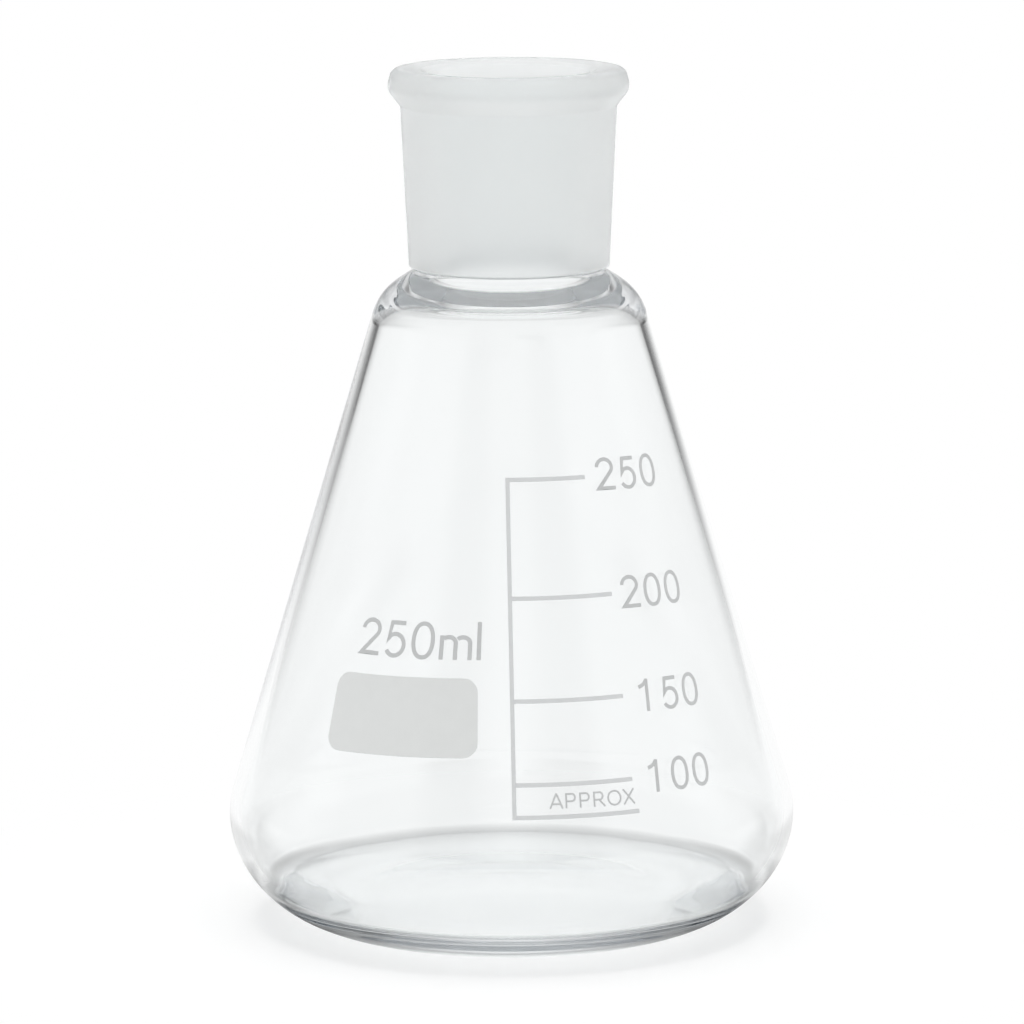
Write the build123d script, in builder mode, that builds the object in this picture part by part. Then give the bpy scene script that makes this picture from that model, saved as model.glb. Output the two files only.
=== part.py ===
"""Erlenmeyer flask, 250 ml, with a 24/29 ground socket.

The shell is blown in one piece, the socket is made apart and flame-sealed on its neck, and the scale
and the marking spot are enamel films fired on the cone. Origin at the middle of the base, on the
resting plane, +Z up through the mouth; the scale faces -Y. Millimetres.
"""

from build123d import *
from math import acos, asin, atan2, cos, degrees, hypot, radians, sin, sqrt, tan
import os

# ---- Shell ---------------------------------------------------------------------------------------
body_diameter = 85.0  # over the belly, its widest ring
overall_height = 128.4  # resting plane to the top of the bead
wall = 1.5  # cone and belly
belly_radius = 14.5  # outer arc of the belly, seen in section
base_lift = 1.8  # bottom of the belly's arc above the resting plane
heel_offset = 3.0  # how far the contact ring lies inside the centre of the belly's arc
contact_width = 2.0  # flat ring that the flask rests on
push_up = 0.8  # hollow under the middle of the base
floor_height = 4.6  # edge of the floor, inside, above the resting plane
floor_crown = 0.6  # rise of the floor towards its middle
floor_offset = 6.0  # how far the floor's edge lies outside the centre of the belly's arc
floor_corner_radius = 4.0  # inner arc from the floor up into the belly

# ---- Shoulder and neck ---------------------------------------------------------------------------
shoulder_radius = 9.0  # outer arc of the shoulder
shoulder_core_radius = 6.5  # inner arc of the shoulder
shoulder_thickness = 3.4  # glass over the top of the inner arc
shoulder_inset = 2.5  # centre of the outer arc, inside the seal ring
shoulder_drop = 9.37  # centre of the outer arc, below the seat of the socket
seal_radius = 14.3  # outside of the groove where neck and socket are fused
seal_cove = 0.5  # outer cove below the groove
neck_relief = 0.35  # neck bore over the small end of the ground bore
neck_edge_radius = 3.0  # inner edge where the bore opens into the body
neck_edge_lift = 0.2  # lowest ring of that edge, above the top of the shoulder's inner arc

# ---- Ground socket, standard taper 24/29 ---------------------------------------------------------
joint_diameter = 24.0  # large end of the ground bore
joint_length = 29.0
joint_taper = 0.1  # on diameter
lip_height = 0.7  # top of the bead above the large end
lip_width = 1.1  # rounded lead-in at the mouth
lip_depth = 0.45
lip_round = 0.3
socket_lower_radius = 14.9
socket_upper_radius = 16.05  # under the bead
socket_edge = 0.6  # rounding at the lower edge

# ---- Bead ----------------------------------------------------------------------------------------
bead_height = 5.6
bead_reach = 2.0  # corner of the bead's outline beyond the socket wall
bead_corner_drop = 3.0  # that corner, below the top
bead_top_inset = 0.75  # top corner, inside that corner
bead_crest_width = 1.7  # nearly flat crest, inwards from the top corner
bead_top_round = 1.4
bead_side_round = 2.2
crest_round = 5.0
bead_cove = 0.6

# ---- Enamel --------------------------------------------------------------------------------------
film = 0.05
line_width = 0.6
scale_lean = 1.0  # degrees, the scale's upright leans right at its foot
graduation_height = {"250": 71.1, "200": 54.5, "150": 40.2, "100": 28.6}
graduation_length = {"250": 11.2, "200": 15.0, "150": 16.3, "100": 17.4}
foot_line_height = 24.1
foot_line_length = 18.4
spot_azimuth = -26.2  # degrees from the front, positive towards +X
spot_height = 37.5
spot_size = (23.6, 11.2)  # straight across and upright
spot_corner = 2.2
spot_tilt = 1.8  # degrees

# ---- Worked out ----------------------------------------------------------------------------------
body_radius = body_diameter / 2
seat_height = overall_height - lip_height - joint_length
joint_radius = joint_diameter / 2
joint_small_radius = joint_radius - joint_length * joint_taper / 2
neck_bore_radius = joint_small_radius + neck_relief

belly_centre = (body_radius - belly_radius, belly_radius + base_lift)
contact_radius = belly_centre[0] - heel_offset
heel_radius = belly_radius + base_lift / 2 + heel_offset**2 / (2 * base_lift)
heel_centre = (contact_radius, heel_radius)
heel_angle = degrees(atan2(belly_centre[1] - heel_radius, heel_offset))
shoulder_centre = (seal_radius - shoulder_inset, seat_height - shoulder_drop)


def normal_between(lower, upper):
    """Angle of the outward normal where one straight wall touches both circles.

    A circle is (radius from the axis, height, radius), and a negative radius is a cove.
    """
    run = upper[0] - lower[0]
    rise = upper[1] - lower[1]
    return degrees(atan2(rise, run) - acos((lower[2] - upper[2]) / hypot(run, rise)))


def on_circle(circle, angle):
    """Point of the section on a circle, at the angle of its normal."""
    return (
        circle[0] + circle[2] * cos(radians(angle)),
        circle[1] + circle[2] * sin(radians(angle)),
    )


def draw_arc(circle, start, finish):
    """Arc of a circle between two normals."""
    middle = (start + finish) / 2
    ThreePointArc(on_circle(circle, start), on_circle(circle, middle), on_circle(circle, finish))


def draw_wall(circles, start, finish):
    """Arcs on the circles, bottom to top, joined by the straight walls that touch them."""
    normals = [normal_between(lower, upper) for lower, upper in zip(circles, circles[1:])]
    for circle, first, last in zip(circles, [start, *normals], [*normals, finish]):
        draw_arc(circle, first, last)
    for lower, upper, normal in zip(circles, circles[1:], normals):
        Line(on_circle(lower, normal), on_circle(upper, normal))


def draw_dome(rise, edge, height):
    """Shallow arc from the axis down to the edge of a slightly raised floor."""
    sphere = (edge**2 + rise**2) / (2 * rise)
    middle_rise = sphere - sqrt(sphere**2 - (edge / 2) ** 2)
    ThreePointArc((0, height + rise), (edge / 2, height + rise - middle_rise), (edge, height))


outer_belly = (*belly_centre, belly_radius)
outer_shoulder = (*shoulder_centre, shoulder_radius)
outer_cove = (seal_radius + seal_cove, seat_height, -seal_cove)
cone_normal = normal_between(outer_belly, outer_shoulder)

inner_corner = (
    belly_centre[0] + floor_offset,
    floor_height + floor_corner_radius,
    floor_corner_radius,
)
inner_belly = (*belly_centre, belly_radius - wall)
core_rise = shoulder_radius - shoulder_thickness - shoulder_core_radius
core_inset = shoulder_radius - shoulder_core_radius - wall - core_rise * sin(radians(cone_normal))
inner_shoulder = (
    shoulder_centre[0] + core_inset / cos(radians(cone_normal)),
    shoulder_centre[1] + core_rise,
    shoulder_core_radius,
)
inner_edge = (
    neck_bore_radius + neck_edge_radius,
    inner_shoulder[1] + shoulder_core_radius + neck_edge_lift + neck_edge_radius,
    -neck_edge_radius,
)

# ---- flask_body: base, heel, cone, shoulder and neck, blown in one piece ----------------------------
with BuildPart() as flask_body:
    with BuildSketch(Plane.XZ) as section:
        with BuildLine():
            draw_dome(push_up, contact_radius - contact_width, 0)
            Line((contact_radius - contact_width, 0), (contact_radius, 0))
            draw_arc((*heel_centre, heel_radius), -90, heel_angle)
            draw_wall([outer_belly, outer_shoulder, outer_cove], heel_angle, 0)
            Line((seal_radius, seat_height), (neck_bore_radius, seat_height))
            Line((neck_bore_radius, seat_height), (neck_bore_radius, inner_edge[1]))
            draw_wall([inner_corner, inner_belly, inner_shoulder, inner_edge], -90, 0)
            draw_dome(floor_crown, inner_corner[0], floor_height)
            Line((0, push_up), (0, floor_height + floor_crown))
        make_face()
    revolve(axis=Axis.Z)

flask_body.part.label = "flask_body"

# ---- ground_socket: tapered bore, heavy wall and rolled bead, fused on the neck --------------------
bead_corner_radius = socket_upper_radius + bead_reach
bead_top_radius = bead_corner_radius - bead_top_inset
crest_radius = bead_top_radius - bead_crest_width
mouth_radius = joint_radius + lip_width
mouth_height = seat_height + joint_length

with BuildPart() as ground_socket:
    with BuildSketch(Plane.XZ) as section:
        with BuildLine():
            FilletPolyline(
                (joint_small_radius, seat_height),
                (socket_lower_radius, seat_height),
                (socket_upper_radius, overall_height - bead_height),
                (bead_corner_radius, overall_height - bead_corner_drop),
                (bead_top_radius, overall_height),
                (crest_radius, overall_height),
                (mouth_radius, mouth_height + lip_depth),
                (joint_radius, mouth_height),
                radius=[socket_edge, bead_cove, bead_side_round, bead_top_round, crest_round, lip_round],
            )
            Line((joint_radius, mouth_height), (joint_small_radius, seat_height))
        make_face()
    revolve(axis=Axis.Z)

ground_socket.part.label = "ground_socket"


# ---- Enamel: films of one thickness that lie on the cone ---------------------------------------------
def cone_radius(height):
    """Outside of the cone at a height."""
    foot = on_circle(outer_belly, cone_normal)
    return foot[0] - (height - foot[1]) * tan(radians(cone_normal))


def meridian(azimuth):
    """Plane through the axis, its x out to the azimuth and its y up."""
    side = sin(radians(azimuth))
    front = cos(radians(azimuth))
    return Plane(origin=(0, 0, 0), x_dir=(side, -front, 0), z_dir=(-front, -side, 0))


def facing(azimuth, height):
    """Upright plane on the axis that faces out to the azimuth, its y up."""
    side = sin(radians(azimuth))
    front = cos(radians(azimuth))
    return Plane(origin=(0, 0, height), x_dir=(front, side, 0), z_dir=(side, -front, 0))


def draw_film(low, high):
    """Section of the film between two heights."""
    out = film * cos(radians(cone_normal))
    up = film * sin(radians(cone_normal))
    Polygon(
        (cone_radius(low), low),
        (cone_radius(low) + out, low + up),
        (cone_radius(high) + out, high + up),
        (cone_radius(high), high),
        align=None,
    )


scale_top = graduation_height["250"] + line_width / 2
scale_foot = foot_line_height - line_width / 2
scale_middle = (scale_top + scale_foot) / 2


def scale_x(height):
    """Middle of the scale's upright, across the front."""
    return (scale_middle - height) * tan(radians(scale_lean))


def level_line(height, length):
    """Line of the scale: it starts at the upright and runs level round the cone."""
    start = degrees(asin((scale_x(height) + line_width / 2) / cone_radius(height)))
    sweep = degrees(length / cone_radius(height))
    with BuildPart() as line:
        with BuildSketch(meridian(start)):
            draw_film(height - line_width / 2, height + line_width / 2)
        revolve(axis=Axis.Z, revolution_arc=sweep)
    return line.part


# Marks for the volumes, the highest first
graduations = []
for volume, height in graduation_height.items():
    mark = level_line(height, graduation_length[volume])
    mark.label = f"graduation_{volume}"
    graduations.append(mark)

# Line that closes the scale at its foot
scale_foot_line = level_line(foot_line_height, foot_line_length)
scale_foot_line.label = "scale_foot_line"

# Upright of the scale
with BuildPart() as scale_spine:
    with BuildSketch(facing(0, 0)):
        Polygon(
            (scale_x(scale_foot) - line_width / 2, scale_foot),
            (scale_x(scale_foot) + line_width / 2, scale_foot),
            (scale_x(scale_top) + line_width / 2, scale_top),
            (scale_x(scale_top) - line_width / 2, scale_top),
            align=None,
        )
    extrude(amount=body_radius)
    with BuildSketch(Plane.XZ) as film_section:
        draw_film(scale_foot - line_width, scale_top + line_width)
    revolve(film_section.sketch, axis=Axis.Z, mode=Mode.INTERSECT)

scale_spine.part.label = "scale_spine"

# Spot to write on
with BuildPart() as marking_spot:
    with BuildSketch(facing(spot_azimuth, spot_height)):
        RectangleRounded(*spot_size, spot_corner, rotation=spot_tilt)
    extrude(amount=body_radius)
    with BuildSketch(Plane.XZ) as film_section:
        draw_film(spot_height - spot_size[1], spot_height + spot_size[1])
    revolve(film_section.sketch, axis=Axis.Z, mode=Mode.INTERSECT)

marking_spot.part.label = "marking_spot"

# ---- One STEP file for each piece ------------------------------------------------------------------
os.makedirs("parts", exist_ok=True)
pieces = [flask_body.part, ground_socket.part, scale_spine.part, marking_spot.part]
for piece in [*pieces, *graduations, scale_foot_line]:
    export_step(piece, f"parts/{piece.label}.step")
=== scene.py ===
"""Looks of a conical flask of 250 ml with a 24/29 ground socket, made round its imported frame.

The frame is in metres, +Z up, with the scale facing -Y. Sizes here are in millimetres.
"""

from math import acos, asin, atan2, ceil, cos, degrees, hypot, pi, radians, sin, sqrt, tan

import bpy
from mathutils import Matrix, Vector


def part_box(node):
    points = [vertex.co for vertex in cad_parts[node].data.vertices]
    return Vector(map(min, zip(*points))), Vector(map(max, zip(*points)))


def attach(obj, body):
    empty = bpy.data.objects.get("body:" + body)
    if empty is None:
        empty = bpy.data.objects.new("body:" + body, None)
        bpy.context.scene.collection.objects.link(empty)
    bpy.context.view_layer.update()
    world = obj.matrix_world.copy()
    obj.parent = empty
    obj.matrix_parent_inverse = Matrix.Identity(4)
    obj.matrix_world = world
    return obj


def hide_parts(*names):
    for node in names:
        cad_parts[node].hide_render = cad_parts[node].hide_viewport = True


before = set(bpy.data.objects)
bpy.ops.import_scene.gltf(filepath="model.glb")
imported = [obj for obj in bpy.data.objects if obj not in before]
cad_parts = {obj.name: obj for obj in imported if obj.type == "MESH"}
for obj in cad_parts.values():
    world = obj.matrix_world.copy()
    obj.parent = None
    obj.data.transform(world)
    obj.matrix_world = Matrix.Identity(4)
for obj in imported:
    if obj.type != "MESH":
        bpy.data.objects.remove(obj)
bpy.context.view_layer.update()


# ---- Glass shell -----------------------------------------------------------------------------------
# Borosilicate glass. The body is blown in a mould, with a thin cone and a heavier base and shoulder,
# and the thick socket is melted onto its neck, so that the two are one piece of glass.
MM = 0.001  # of a metre

seat_height = (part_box("flask_body")[1] / MM).z  # where the socket is melted on
overall_height = (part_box("ground_socket")[1] / MM).z

wall = 1.5
belly = (28.0, 16.3, 14.5)  # circles of the section: radius from the axis, height, radius
heel = (25.0, 17.9, 17.9)
shoulder = (11.8, seat_height - 9.37, 9.0)
shoulder_core = 6.5  # inner circle of the shoulder
shoulder_thickness = 3.4  # over the top of that circle
contact_inner = 23.0  # inner edge of the ring that the flask stands on
push_up = 0.8  # hollow under the middle of the base
floor_corner = (34.0, 8.6, 4.0)  # inner circle from the floor up into the belly
floor_crown = 0.6  # rise of the floor towards its middle
seal_radius = 14.3
seal_cove = 0.5
neck_bore = 10.9  # radius
neck_edge = 3.0  # rounding where the bore opens into the body
neck_edge_lift = 0.2

taper_top = 12.0  # standard 24/29 taper: 24 mm across at the top, 1 in 10, 29 mm long
taper_bottom = 10.55
taper_length = 29.0
mouth_radius = 13.1
lip_depth = 0.45
socket_foot = 14.9  # outside radius at the seal
socket_neck = 16.05  # outside radius under the bead
bead_height = 5.6
bead_radius = 18.05
bead_widest = 3.0  # below the top
crest_outer = 17.3
crest_inner = 15.6
socket_rounds = [0.6, 0.6, 2.2, 1.4, 5.0, 0.3, 0.3]  # from its foot up, over the bead and in
socket_clear = 0.3  # left clear above the seal
sides = 240  # round the axis


def normal_between(lower, upper):
    """Angle of the outward normal of the straight wall that touches two circles."""
    run = upper[0] - lower[0]
    rise = upper[1] - lower[1]
    return degrees(atan2(rise, run) - acos((lower[2] - upper[2]) / hypot(run, rise)))


def arc(circle, start, finish, step=4.0):
    """Points of an arc of the section, from one normal to another."""
    count = max(2, ceil(abs(finish - start) / step))
    angles = [radians(start + (finish - start) * i / count) for i in range(count + 1)]
    return [(circle[0] + circle[2] * cos(a), circle[1] + circle[2] * sin(a)) for a in angles]


def wall_line(circles, start, finish):
    """Points of a wall that goes round the circles, bottom to top, and straight between them."""
    normals = [normal_between(lower, upper) for lower, upper in zip(circles, circles[1:])]
    points = []
    for circle, first, last in zip(circles, [start, *normals], [*normals, finish]):
        points += arc(circle, first, last)
    return points


def dome(rise, edge, height, count=12):
    """Points of a shallow dome, from the axis to its edge."""
    sphere = (edge**2 + rise**2) / (2 * rise)
    radii = [edge * i / count for i in range(count + 1)]
    return [(r, height + rise - sphere + sqrt(sphere**2 - r**2)) for r in radii]


def rounded(points, radii, step=9.0):
    """Points of a line whose corners, all but its two ends, are rounded."""
    line = [points[0]]
    for before, corner, after, radius in zip(points, points[1:], points[2:], radii):
        at = Vector(corner)
        back = (Vector(before) - at).normalized()
        ahead = (Vector(after) - at).normalized()
        half = back.angle(ahead) / 2
        reach = radius / tan(half)
        centre = at + (back + ahead).normalized() * (radius / sin(half))
        first = at + back * reach - centre
        count = max(2, ceil(degrees(pi - 2 * half) / step))
        turn = first.angle_signed(at + ahead * reach - centre)
        for i in range(count + 1):
            line.append(tuple(centre + Matrix.Rotation(-turn * i / count, 2) @ first))
    return [*line, points[-1]]


heel_join = degrees(atan2(belly[1] - heel[1], belly[0] - heel[0]))
cove = (seal_radius + seal_cove, seat_height, -seal_cove)
cone_normal = normal_between(belly, shoulder)
core_rise = shoulder[2] - shoulder_thickness - shoulder_core
core_inset = shoulder[2] - shoulder_core - wall - core_rise * sin(radians(cone_normal))
inner_belly = (belly[0], belly[1], belly[2] - wall)
inner_shoulder = (
    shoulder[0] + core_inset / cos(radians(cone_normal)),
    shoulder[1] + core_rise,
    shoulder_core,
)
core_top = inner_shoulder[1] + shoulder_core
inner_edge = (neck_bore + neck_edge, core_top + neck_edge_lift + neck_edge, -neck_edge)
floor_height = floor_corner[1] - floor_corner[2]

outside = dome(push_up, contact_inner, 0)
outside += arc(heel, -90, heel_join)
outside += wall_line([belly, shoulder, cove], heel_join, 0)
outside += rounded(
    [
        (seal_radius, seat_height),
        (socket_foot, seat_height),
        (socket_neck, overall_height - bead_height),
        (bead_radius, overall_height - bead_widest),
        (crest_outer, overall_height),
        (crest_inner, overall_height),
        (mouth_radius, seat_height + taper_length + lip_depth),
        (taper_top, seat_height + taper_length),
        (taper_bottom, seat_height),
    ],
    socket_rounds,
)
inside = dome(floor_crown, floor_corner[0], floor_height)
inside += wall_line([floor_corner, inner_belly, inner_shoulder, inner_edge], -90, 0)
inside += [(neck_bore, seat_height)]


def thinned(points, least=0.02):
    """The points without those that lie on the one before."""
    kept = [points[0]]
    for point in points[1:]:
        if hypot(point[0] - kept[-1][0], point[1] - kept[-1][1]) > least:
            kept.append(point)
    return kept


def turned(name, section, crease=32.0):
    """Closed mesh of a section that starts and ends on the axis, turned about it."""
    vertices = []
    rings = []
    for radius, height in section:
        count = sides if radius > 1e-6 else 1
        rings.append(range(len(vertices), len(vertices) + count))
        for i in range(count):
            angle = 2 * pi * i / sides
            vertices.append((radius * MM * cos(angle), radius * MM * sin(angle), height * MM))
    faces = []
    for lower, upper in zip(rings, rings[1:]):
        for i in range(sides):
            ring = [
                lower[i % len(lower)],
                lower[(i + 1) % len(lower)],
                upper[(i + 1) % len(upper)],
                upper[i % len(upper)],
            ]
            faces.append(tuple(dict.fromkeys(ring)))
    mesh = bpy.data.meshes.new(name)
    mesh.from_pydata(vertices, [], faces)
    mesh.shade_smooth()
    mesh.set_sharp_from_angle(angle=radians(crease))
    piece = bpy.data.objects.new(name, mesh)
    bpy.context.scene.collection.objects.link(piece)
    return piece


section = thinned(outside + inside[::-1])
shell = turned("glass_shell", section)


def linear(code):
    """Linear colour of an sRGB hex value."""
    channels = [int(code[i : i + 2], 16) / 255 for i in (1, 3, 5)]
    return [c / 12.92 if c <= 0.04045 else ((c + 0.055) / 1.055) ** 2.4 for c in channels] + [1.0]


def add_node(tree, kind, settings=None, links=None):
    """A node with its settings, and links into its inputs. Names of inputs take values too."""
    node = tree.nodes.new(kind)
    for key, value in (settings or {}).items():
        if isinstance(key, int) or key in node.inputs:
            node.inputs[key].default_value = value
        else:
            setattr(node, key, value)
    for key, source in (links or {}).items():
        tree.links.new(source, node.inputs[key])
    return node


def new_material(name):
    """An empty material, its node tree and its output node."""
    material = bpy.data.materials.new(name)
    material.use_nodes = True
    tree = material.node_tree
    tree.nodes.clear()
    return material, tree, add_node(tree, "ShaderNodeOutputMaterial")


# Clear borosilicate glass, blown: bright, with waves so long and shallow that only the reflections
# show them. It takes so little light that a wall looks colourless, and a long way round in the
# shoulder or the heel comes out cool grey.
clear_glass, tree, output = new_material("clear_borosilicate_glass")
place = add_node(tree, "ShaderNodeTexCoord")
waves = add_node(
    tree,
    "ShaderNodeTexNoise",
    {"Scale": 1 / (9 * MM), "Detail": 1.0, "Roughness": 0.4},
    {"Vector": place.outputs["Object"]},
)
ripple = add_node(
    tree,
    "ShaderNodeBump",
    {"Strength": 0.2, "Distance": 0.02 * MM},
    {"Height": waves.outputs["Fac"]},
)
glass = add_node(
    tree,
    "ShaderNodeBsdfPrincipled",
    {
        "Base Color": linear("#FCFDFD"),
        "Roughness": 0.0,
        "IOR": 1.473,
        "Transmission Weight": 1.0,
    },
    {"Normal": ripple.outputs["Normal"]},
)
tree.links.new(glass.outputs["BSDF"], output.inputs["Surface"])
tint = add_node(
    tree,
    "ShaderNodeVolumeAbsorption",
    {"Color": (0.0, 0.1, 0.2, 1.0), "Density": 2.5},
)
tree.links.new(tint.outputs["Volume"], output.inputs["Volume"])

# Ground glass: the joint, cut inside with fine wet grit and etched outside, up to its fire-sealed
# foot, so that it scatters what passes it. The grit is a tenth of a millimetre; it is drawn at four
# tenths, the finest that shows.
ground_glass, tree, output = new_material("ground_joint_glass")
place = add_node(tree, "ShaderNodeTexCoord")
grit = add_node(
    tree,
    "ShaderNodeTexNoise",
    {"Scale": 1 / (0.4 * MM), "Detail": 2.0, "Roughness": 0.6},
    {"Vector": place.outputs["Object"]},
)
matt = add_node(
    tree,
    "ShaderNodeMapRange",
    {"To Min": 0.34, "To Max": 0.48},
    {"Value": grit.outputs["Fac"]},
)
glass = add_node(
    tree,
    "ShaderNodeBsdfPrincipled",
    {
        "Base Color": linear("#F4F6F6"),
        "IOR": 1.473,
        "Transmission Weight": 0.92,
    },
    {"Roughness": matt.outputs["Result"]},
)
tree.links.new(glass.outputs["BSDF"], output.inputs["Surface"])

shell.data.materials.append(clear_glass)
shell.data.materials.append(ground_glass)
for face in shell.data.polygons:
    face.material_index = int(face.center.z / MM > seat_height + socket_clear)

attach(shell, "root")
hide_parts("flask_body", "ground_socket")


# ---- Scale -----------------------------------------------------------------------------------------
# Light grey enamel, printed on the cone through a screen and fired until it melts into the glass:
# an upright, a mark for each volume, and a line that closes the scale below the word.
film = 0.04  # how far the enamel stands out of the glass
root_depth = 0.02  # how far it has melted in
edge_slope = 0.06  # share of a stroke's width over which it rises at each edge
sharpest_mitre = 0.35  # keeps the point of a sharp corner short
line_width = 0.6
line_steps = 24

cone_foot = (
    belly[0] + belly[2] * cos(radians(cone_normal)),
    belly[1] + belly[2] * sin(radians(cone_normal)),
)


def cone_radius(height):
    """Outside radius of the cone at a height."""
    return cone_foot[0] - (height - cone_foot[1]) * tan(radians(cone_normal))


def on_cone(azimuth, height, out):
    """Place on the cone, in metres: azimuth in degrees from the front, out along the normal."""
    radius = cone_radius(height) + out * cos(radians(cone_normal))
    rise = height + out * sin(radians(cone_normal))
    around = radians(azimuth)
    return (radius * sin(around) * MM, -radius * cos(around) * MM, rise * MM)


def band(path, width, closed=False):
    """Two edges of a flat stroke along a path, with pointed corners and square ends."""
    last = len(path) - 1
    edges = []
    for i, point in enumerate(path):
        here = Vector(point)
        before = Vector(path[i - 1]) if i or closed else None
        after = Vector(path[(i + 1) % len(path)]) if i < last or closed else None
        into = (here - before).normalized() if before is not None else (after - here).normalized()
        onto = (after - here).normalized() if after is not None else into
        across = Vector((-(into + onto).y, (into + onto).x)).normalized()
        reach = width / 2 / max(sharpest_mitre, across.dot(Vector((-into.y, into.x))))
        edges.append((here + across * reach, here - across * reach))
    return edges


def enamel(name, strokes, to_cone, material):
    """A piece of enamel. A stroke is a path, its width, in millimetres, and whether it closes."""
    vertices = []
    faces = []
    for path, width, closed in strokes:
        base = len(vertices)
        edges = band(path, width, closed)
        for left, right in edges:
            inset = (right - left) * edge_slope
            vertices += [to_cone(*left, -root_depth), to_cone(*(left + inset), film)]
            vertices += [to_cone(*(right - inset), film), to_cone(*right, -root_depth)]
        count = len(edges)
        for i in range(count if closed else count - 1):
            a = base + 4 * i
            b = base + 4 * ((i + 1) % count)
            for j in range(4):
                k = (j + 1) % 4
                faces.append((a + j, b + j, b + k, a + k))
        if not closed:
            end = base + 4 * (count - 1)
            faces.append((base, base + 1, base + 2, base + 3))
            faces.append((end + 3, end + 2, end + 1, end))
    mesh = bpy.data.meshes.new(name)
    mesh.from_pydata(vertices, [], faces)
    mesh.materials.append(material)
    piece = bpy.data.objects.new(name, mesh)
    bpy.context.scene.collection.objects.link(piece)
    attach(piece, "root")
    return piece


def enamel_material(name, colour, worn_colour):
    """Fired screen enamel: matt and even, a little thinner in cloudy places where less was printed."""
    material, tree, output = new_material(name)
    place = add_node(tree, "ShaderNodeTexCoord")
    cloud = add_node(
        tree,
        "ShaderNodeTexNoise",
        {"Scale": 1 / (2.5 * MM), "Detail": 3.0, "Roughness": 0.6},
        {"Vector": place.outputs["Object"]},
    )
    tone = add_node(
        tree,
        "ShaderNodeMix",
        {"data_type": "RGBA"},
        {"Factor": cloud.outputs["Fac"]},
    )
    tone.inputs[6].default_value = linear(colour)
    tone.inputs[7].default_value = linear(worn_colour)
    # The grain of the fired powder is a few hundredths of a millimetre, and is drawn coarser to show.
    grain = add_node(
        tree,
        "ShaderNodeTexNoise",
        {"Scale": 1 / (0.15 * MM), "Detail": 1.0},
        {"Vector": place.outputs["Object"]},
    )
    bump = add_node(
        tree,
        "ShaderNodeBump",
        {"Strength": 0.3, "Distance": 0.01 * MM},
        {"Height": grain.outputs["Fac"]},
    )
    surface = add_node(
        tree,
        "ShaderNodeBsdfPrincipled",
        {"Roughness": 0.55, "IOR": 1.5},
        {"Base Color": tone.outputs[2], "Normal": bump.outputs["Normal"]},
    )
    tree.links.new(surface.outputs["BSDF"], output.inputs["Surface"])
    return material


line_enamel = enamel_material("scale_line_enamel", "#D6D8D9", "#E0E2E2")


def mark(node):
    """A level line of the scale, where its CAD node lies."""
    low, high = (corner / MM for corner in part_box(node))
    height = (low.z + high.z) / 2
    radius = cone_radius(height)
    start = degrees(asin(low.x / radius))
    finish = degrees(asin(high.x / radius))
    azimuths = [start + (finish - start) * i / line_steps for i in range(line_steps + 1)]
    path = [(radians(azimuth) * radius, height) for azimuth in azimuths]
    piece = enamel(
        "printed_" + node,
        [(path, line_width, False)],
        lambda along, rise, out: on_cone(degrees(along / radius), rise, out),
        line_enamel,
    )
    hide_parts(node)


for volume in ("250", "200", "150", "100"):
    mark(f"graduation_{volume}")
mark("scale_foot_line")

low, high = (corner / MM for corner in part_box("scale_spine"))
spine_shift = high.x - low.x - line_width  # it leans right, from its top to its foot
spine_path = [
    (
        low.x + line_width / 2 + spine_shift * i / line_steps,
        high.z + (low.z - high.z) * i / line_steps,
    )
    for i in range(line_steps + 1)
]
spine = enamel(
    "scale_upright",
    [(spine_path, line_width, False)],
    lambda across, rise, out: on_cone(degrees(asin(across / cone_radius(rise))), rise, out),
    line_enamel,
)
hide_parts("scale_spine")


# ---- Numerals and words ----------------------------------------------------------------------------
# The same enamel, printed in one pass with the scale: the volumes, a note that they are approximate,
# and the nominal volume. Plain light letters, drawn here as strokes of one width.
stroke = 0.118  # share of the height of a capital


def sweep(centre, reach, start, finish, power=2.0, count=28):
    """Points round an oval, clockwise when finish is below start; power above 2 squares it off."""
    points = []
    for i in range(count + 1):
        a = radians(start + (finish - start) * i / count)
        x = abs(cos(a)) ** (2 / power) * (1 if cos(a) >= 0 else -1)
        y = abs(sin(a)) ** (2 / power) * (1 if sin(a) >= 0 else -1)
        points.append((centre[0] + reach[0] * x, centre[1] + reach[1] * y))
    return points


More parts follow.
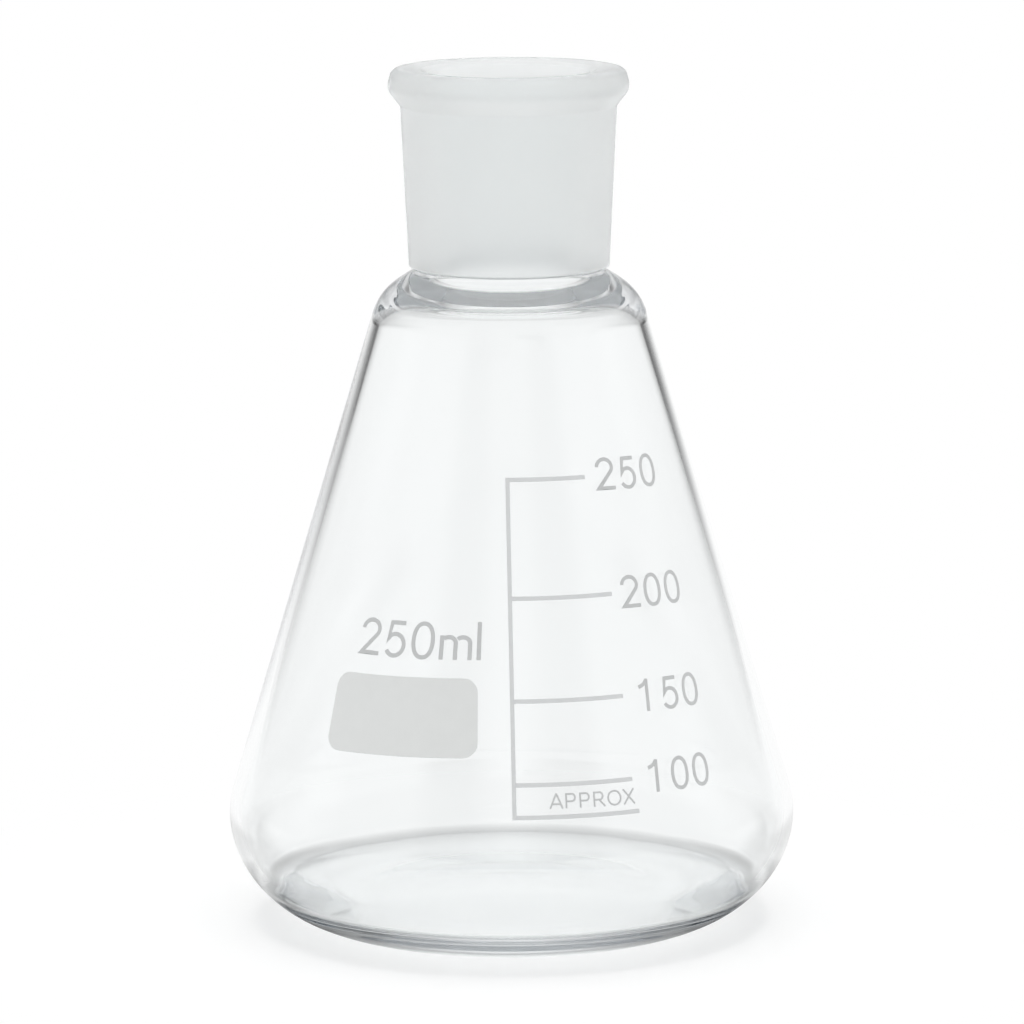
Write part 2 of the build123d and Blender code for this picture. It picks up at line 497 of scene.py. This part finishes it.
# Each letter has its advance and its strokes: a path in heights of a capital, and whether it closes.
half = stroke / 2
nought = sweep((0.34, 0.5), (0.34 - half, 0.52 - half), 0, 360, 2.25, 56)[:-1]
round_o = sweep((0.5, 0.5), (0.5 - half, 0.52 - half), 0, 360, 2.0, 56)[:-1]
bowl = [(half, 1 - half), (0.44, 1 - half)]
bowl += sweep((0.44, 0.70), (0.27 - half, 0.30 - half), 90, -90)[1:]
bowl += [(half, 0.40 + half)]
letters = {
    "0": (0.86, [(nought, True)]),
    "1": (
        0.86,
        [
            ([(0.32, 0), (0.32, 1.0)], False),
            ([(0.02, 0.76), (0.14, 0.80), (0.24, 0.87), (0.32, 0.985)], False),
        ],
    ),
    "2": (
        0.86,
        [
            (
                sweep((0.33, 0.715), (0.33 - half, 0.305 - half), 178, -32)
                + [(0.10, half), (0.68, half)],
                False,
            )
        ],
    ),
    "5": (
        0.86,
        [
            (
                [(0.60, 1 - half), (0.17, 1 - half), (0.115, 0.50)]
                + sweep((0.325, 0.335), (0.335 - half, 0.355 - half), 122, -148),
                False,
            )
        ],
    ),
    "m": (
        1.08,
        [
            ([(half, 0), (half, 0.66)], False),
            (sweep((0.255, 0.45), (0.255 - half, 0.23 - half), 160, 0)[4:] + [(0.45, 0)], False),
            (sweep((0.65, 0.45), (0.26 - half, 0.23 - half), 160, 0)[4:] + [(0.85, 0)], False),
        ],
    ),
    "l": (0.3, [([(half, 0), (half, 1.04)], False)]),
    "A": (
        1.07,
        [
            ([(0.05, 0), (0.465, 1.0)], False),
            ([(0.88, 0), (0.465, 1.0)], False),
            ([(0.20, 0.30), (0.73, 0.30)], False),
        ],
    ),
    "P": (0.95, [([(half, 0), (half, 1)], False), (bowl, False)]),
    "R": (
        0.97,
        [([(half, 0), (half, 1)], False), (bowl, False), ([(0.42, 0.43), (0.78, 0)], False)],
    ),
    "O": (1.12, [(round_o, True)]),
    "X": (0.9, [([(0.04, 0), (0.80, 1)], False), ([(0.80, 0), (0.04, 1)], False)]),
}

text_enamel = enamel_material("lettering_enamel", "#C5C7C7", "#CED0D0")


def words(name, text, azimuth, base, height, droop, lean, tracking=1.0, weight=1.0):
    """Lettering on the cone from an azimuth and a height; droop and lean are in degrees."""
    middle = cone_radius(base + height / 2)
    strokes = []
    at = 0.0
    for letter in text:
        advance, paths = letters[letter]
        for path, closed in paths:
            placed = [((at + x) * height, y * height) for x, y in path]
            strokes.append((placed, stroke * weight * height, closed))
        at += advance * tracking

    def to_cone(along, rise, out):
        across = along + rise * tan(radians(lean))
        level = base + (rise - along * tan(radians(droop))) * cos(radians(cone_normal))
        return on_cone(azimuth + degrees(across / middle), level, out)

    piece = enamel(name, strokes, to_cone, text_enamel)


numeral = 4.72  # heights of the capitals
note = 2.2
nominal = 5.35

words("numeral_250", "250", 27.4, 69.05, numeral, 2.0, 4.0)
words("numeral_200", "200", 30.1, 52.3, numeral, 1.8, 4.0)
words("numeral_150", "150", 30.6, 37.7, numeral, 1.4, 4.4)
words("numeral_100", "100", 29.9, 26.4, numeral, 1.2, 4.4)
words("word_approx", "APPROX", 7.75, 25.25, note, 0.3, 1.0, weight=1.05)
words("nominal_volume", "250ml", -40.5, 45.5, nominal, -1.3, 0.0, tracking=0.96)


# ---- Spot to write on ------------------------------------------------------------------------------
# A rounded rectangle of matt off-white enamel that takes a pencil, printed and fired with the scale.
# It is one even film, a little raised, with a narrow sloping edge above and below.
spot_azimuth = -26.2
spot_height = 37.5
spot_size = (23.9, 11.6)
spot_corner = 2.2
spot_tilt = 1.8  # degrees
spot_slope = 0.99  # share of its half height at which it has risen
columns = 40

spot_enamel = enamel_material("marking_spot_enamel", "#E2E4E3", "#E7E9E8")


def spot_on_cone(along, rise, out):
    """Place of a point of the spot."""
    a = radians(spot_tilt)
    across = along * cos(a) - rise * sin(a)
    level = spot_height + (along * sin(a) + rise * cos(a)) * cos(radians(cone_normal))
    return on_cone(spot_azimuth + degrees(across / cone_radius(spot_height)), level, out)


top_edge = []
for i in range(columns + 1):
    along = -spot_size[0] / 2 + spot_size[0] * (0.5 - 0.5 * cos(pi * i / columns))
    inset = max(0.0, abs(along) - (spot_size[0] / 2 - spot_corner))
    drop = spot_corner - sqrt(max(0.0, spot_corner**2 - inset**2))
    top_edge.append((along, spot_size[1] / 2 - drop))
vertices = []
faces = []
profile = ((1, -root_depth), (spot_slope, film), (-spot_slope, film), (-1, -root_depth))
for along, rise in top_edge:
    for side, out in profile:
        vertices.append(spot_on_cone(along, rise * side, out))
for i in range(columns):
    for j in range(4):
        a, b, k = 4 * i, 4 * (i + 1), (j + 1) % 4
        faces.append((a + j, a + k, b + k, b + j))
faces.append((3, 2, 1, 0))
faces.append(tuple(4 * columns + j for j in range(4)))
mesh = bpy.data.meshes.new("spot_to_write_on")
mesh.from_pydata(vertices, [], faces)
mesh.materials.append(spot_enamel)
spot = bpy.data.objects.new("spot_to_write_on", mesh)
bpy.context.scene.collection.objects.link(spot)
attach(spot, "root")
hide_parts("marking_spot")


# ---- Floor, light and camera -----------------------------------------------------------------------
# A wide white card that keeps the flask's shadow, with shade painted on it too where glass shows it,
# and soft light from all round, most of it from above. Clear glass shows only what stands round it,
# so dark screens at both sides, in front and behind, draw its edges.
floor_half = 600.0
floor_drop = 0.05  # keeps the card off the ring that the flask stands on

corners = [(x * floor_half, y * floor_half) for x, y in ((-1, -1), (1, -1), (1, 1), (-1, 1))]
floor_mesh = bpy.data.meshes.new("floor")
floor_mesh.from_pydata([(x * MM, y * MM, 0) for x, y in corners], [], [(0, 1, 2, 3)])
floor = bpy.data.objects.new("floor", floor_mesh)
floor.location.z = -floor_drop * MM
bpy.context.scene.collection.objects.link(floor)


def overlap(tree, ranges):
    """Where several ramps hold at once. A ramp is a socket, its two ends and its values there."""
    result = None
    for source, low, high, start, finish in ranges:
        ramp = add_node(
            tree,
            "ShaderNodeMapRange",
            {"From Min": low, "From Max": high, "To Min": start, "To Max": finish},
            {"Value": source},
        )
        if result is None:
            result = ramp.outputs["Result"]
        else:
            links = {0: result, 1: ramp.outputs["Result"]}
            both = add_node(tree, "ShaderNodeMath", {"operation": "MULTIPLY"}, links)
            result = both.outputs["Value"]
    return result


def shown_by_glass(tree, path):
    """One for what the eye meets through glass or in its gloss."""
    links = {0: path.outputs["Is Transmission Ray"], 1: path.outputs["Is Glossy Ray"]}
    either = add_node(tree, "ShaderNodeMath", {"operation": "MAXIMUM"}, links)
    return either.outputs["Value"]


def light_left(tree, shades, mask):
    """One, less the darkest of the shades where a mask holds."""
    darkest = shades[0]
    for shade in shades[1:]:
        darker = add_node(tree, "ShaderNodeMath", {"operation": "MAXIMUM"}, {0: darkest, 1: shade})
        darkest = darker.outputs["Value"]
    taken = add_node(tree, "ShaderNodeMath", {"operation": "MULTIPLY"}, {0: darkest, 1: mask})
    links = {1: taken.outputs["Value"]}
    left = add_node(tree, "ShaderNodeMath", {"operation": "SUBTRACT", 0: 1.0}, links)
    return left.outputs["Value"]


# White card. It glows where the eye meets it away from the flask, so that it stays white, and is
# mostly paper near the flask, where the real shadow lies. Where glass shows it, shade is painted on it:
# dark in the narrow gap under the heel at both sides in front, grey in that gap behind, and a little
# grey beside the flask.
pale_floor, tree, output = new_material("pale_floor")
place = add_node(tree, "ShaderNodeTexCoord")
path = add_node(tree, "ShaderNodeLightPath")
axes = add_node(tree, "ShaderNodeSeparateXYZ", {}, {0: place.outputs["Object"]})
distance = add_node(tree, "ShaderNodeVectorMath", {"operation": "LENGTH"}, {0: place.outputs["Object"]})
sideways = add_node(tree, "ShaderNodeMath", {"operation": "ABSOLUTE"}, {0: axes.outputs["X"]})
# Painted shade, dark, on the floor in the gap under the heel at both sides in front, only for rays
# through the heel alone.
painted_shade_in_front = overlap(
    tree,
    (
        (sideways.outputs["Value"], 10 * MM, 30 * MM, 0.0, 1.0),  # open in the middle
        (distance.outputs["Value"], 24 * MM, 31 * MM, 0.0, 1.0),  # from the contact ring
        (distance.outputs["Value"], 40 * MM, 50 * MM, 1.0, 0.0),  # to past the belly
        (axes.outputs["Y"], -8 * MM, 12 * MM, 1.0, 0.0),  # on this side
        (path.outputs["Transmission Depth"], 2.5, 3.5, 1.0, 0.0),  # through the heel alone
    ),
)
# Painted shade, grey, on the floor in the gap under the heel all round behind.
painted_shade_behind = overlap(
    tree,
    (
        (sideways.outputs["Value"], 28 * MM, 42 * MM, 0.27, 0.6),  # darker at the sides
        (distance.outputs["Value"], 32 * MM, 41 * MM, 0.0, 1.0),
        (distance.outputs["Value"], 44 * MM, 58 * MM, 1.0, 0.0),
        (axes.outputs["Y"], 0.0, 10 * MM, 0.0, 1.0),  # on the far side
    ),
)
# Painted shade, light grey, on the floor beside the flask, towards the back.
painted_shade_beside = overlap(
    tree,
    (
        (sideways.outputs["Value"], 43 * MM, 50 * MM, 0.0, 0.2),
        (distance.outputs["Value"], 80 * MM, 100 * MM, 1.0, 0.0),  # gone by here
        (axes.outputs["Y"], 0.0, 20 * MM, 0.0, 1.0),
    ),
)
# The card's colour, less the painted shade, for what is seen through glass or in its gloss.
tone = light_left(tree, (painted_shade_in_front, painted_shade_behind, painted_shade_beside), shown_by_glass(tree, path))
fade = add_node(
    tree,
    "ShaderNodeMapRange",
    {"interpolation_type": "SMOOTHSTEP", "From Min": 45 * MM, "From Max": 100 * MM, "To Min": 0.3},
    {"Value": distance.outputs["Value"]},
)
seen = add_node(
    tree,
    "ShaderNodeMath",
    {"operation": "SUBTRACT", 0: 1.0},
    {1: path.outputs["Is Diffuse Ray"]},
)
glow = add_node(
    tree,
    "ShaderNodeMath",
    {"operation": "MULTIPLY"},
    {0: fade.outputs["Result"], 1: seen.outputs["Value"]},
)
white = add_node(tree, "ShaderNodeEmission", {"Strength": 1.0}, {"Color": tone})
paper = add_node(tree, "ShaderNodeBsdfDiffuse", {}, {"Color": tone})
mix = add_node(
    tree,
    "ShaderNodeMixShader",
    {},
    {0: glow.outputs["Value"], 1: paper.outputs["BSDF"], 2: white.outputs["Emission"]},
)
tree.links.new(mix.outputs["Shader"], output.inputs["Surface"])
floor_mesh.materials.append(pale_floor)

# Studio. White where the eye meets it, with the screens and a grey ceiling for what glass shows. What
# dull surfaces get of it grows towards the top, and leaves them about as light as they are written.
world = bpy.data.worlds.new("studio")
bpy.context.scene.world = world
world.use_nodes = True
tree = world.node_tree
tree.nodes.clear()
output = add_node(tree, "ShaderNodeOutputWorld")
place = add_node(tree, "ShaderNodeTexCoord")
path = add_node(tree, "ShaderNodeLightPath")
axes = add_node(tree, "ShaderNodeSeparateXYZ", {}, {0: place.outputs["Generated"]})
around = add_node(
    tree,
    "ShaderNodeMath",
    {"operation": "ARCTAN2"},
    {0: axes.outputs["X"], 1: axes.outputs["Y"]},
)
turn = add_node(
    tree,
    "ShaderNodeMath",
    {"operation": "PINGPONG", 1: pi / 2},
    {0: around.outputs["Value"]},
)
screens = overlap(
    tree,
    (
        (turn.outputs["Value"], radians(3), radians(20), 0.0, 0.9),  # near edge, soft
        (turn.outputs["Value"], radians(34), radians(44), 1.0, 0.25),  # a grey one beyond
        (turn.outputs["Value"], radians(75), radians(85), 1.0, 0.0),  # far edge
        (axes.outputs["Z"], -0.08, 0.02, 0.0, 1.0),  # foot
        (axes.outputs["Z"], 0.07, 0.2, 1.0, 0.7),  # lighter higher up
    ),
)
ceiling = overlap(tree, ((axes.outputs["Z"], 0.32, 0.5, 0.0, 0.5),))
direct = add_node(
    tree,
    "ShaderNodeMath",
    {"operation": "LESS_THAN", 1: 0.5},
    {0: path.outputs["Diffuse Depth"]},
)
straight = add_node(
    tree,
    "ShaderNodeMath",
    {"operation": "MULTIPLY"},
    {0: shown_by_glass(tree, path), 1: direct.outputs["Value"]},
)
clear = light_left(tree, (screens, ceiling), straight.outputs["Value"])
overhead = add_node(
    tree,
    "ShaderNodeMapRange",
    {"From Min": 0.0, "From Max": 1.0, "To Min": 0.1, "To Max": 1.45},
    {"Value": axes.outputs["Z"]},
)
level = add_node(
    tree,
    "ShaderNodeMix",
    {"data_type": "FLOAT", 3: 1.0},
    {0: direct.outputs["Value"], 2: overhead.outputs["Result"]},
)
strength = add_node(
    tree,
    "ShaderNodeMath",
    {"operation": "MULTIPLY"},
    {0: clear, 1: level.outputs[0]},
)
sky = add_node(
    tree,
    "ShaderNodeBackground",
    {"Color": (1, 1, 1, 1)},
    {"Strength": strength.outputs["Value"]},
)
tree.links.new(sky.outputs["Background"], output.inputs["Surface"])

# Camera, in front of the flask and above it, with a long lens.
camera_back = 869.7
camera_height = 213.6
camera_tilt = 9.906  # degrees down
camera_roll = 0.25

camera_data = bpy.data.cameras.new("camera")
camera_data.sensor_width = 36.0
camera_data.lens = 207.33
camera_data.shift_x = 0.0016
camera_data.clip_end = 20.0
camera = bpy.data.objects.new("camera", camera_data)
camera.location = (0.0, -camera_back * MM, camera_height * MM)
tilt = Matrix.Rotation(radians(90 - camera_tilt), 4, "X")
roll = Matrix.Rotation(radians(-camera_roll), 4, "Z")
camera.rotation_euler = (tilt @ roll).to_euler()
bpy.context.scene.collection.objects.link(camera)
bpy.context.scene.camera = camera

scene = bpy.context.scene
scene.view_settings.view_transform = "Standard"
scene.cycles.max_bounces = 128
scene.cycles.diffuse_bounces = 8
scene.cycles.transmission_bounces = 128
scene.cycles.glossy_bounces = 128
scene.cycles.blur_glossy = 0.0
